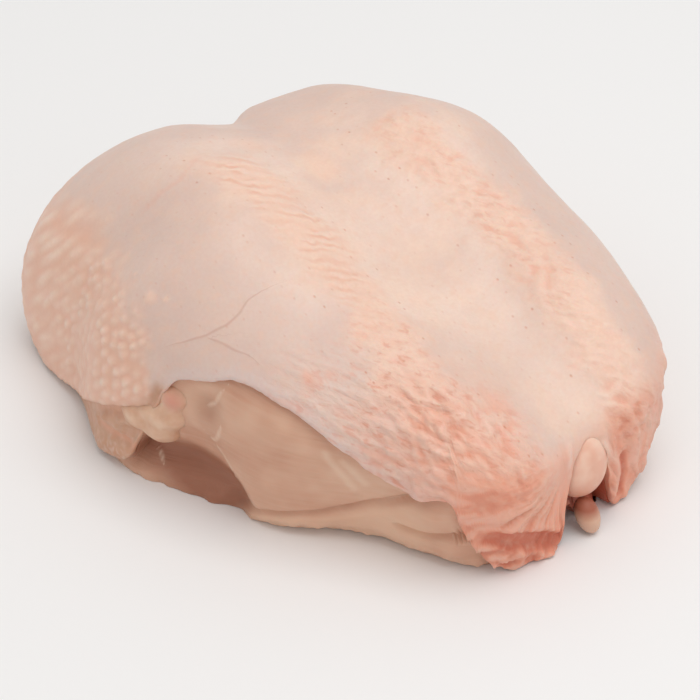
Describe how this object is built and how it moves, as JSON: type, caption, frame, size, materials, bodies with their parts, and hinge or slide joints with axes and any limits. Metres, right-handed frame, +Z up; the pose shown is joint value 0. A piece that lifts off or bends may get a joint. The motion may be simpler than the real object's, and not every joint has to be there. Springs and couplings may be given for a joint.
{
  "type": "raw chicken breast",
  "caption": "Raw whole chicken breast on the bone with its skin on, lying on its ribs, trimmed at the flanks so that the meat shows.",
  "frame": {"origin": "middle of the plan, on the surface that the breast lies on", "axes": "+Y runs along the keel from the tail end to the neck end, +Z is up through the skin side, +X is towards the bird's left lobe"},
  "size_m": [0.1708, 0.2042, 0.0796],
  "materials": {
    "raw_meat": "moist raw poultry meat, tan pink, faintly glossy, with fine fibres",
    "raw_skin": "moist pale pink skin with peach feather tracts, pores and fine wrinkles",
    "cartilage": "smooth wet translucent cartilage, pale pink",
    "pale_fat": "soft yellowish pink fat with a wet sheen"
  },
  "bodies": {
    "root": {"flesh": "raw_meat", "skin": "raw_skin", "keel_tip": "cartilage", "rib_end": "cartilage", "wing_joint_right": "pale_fat", "wing_joint_left": "pale_fat"}
  },
  "joints": []
}
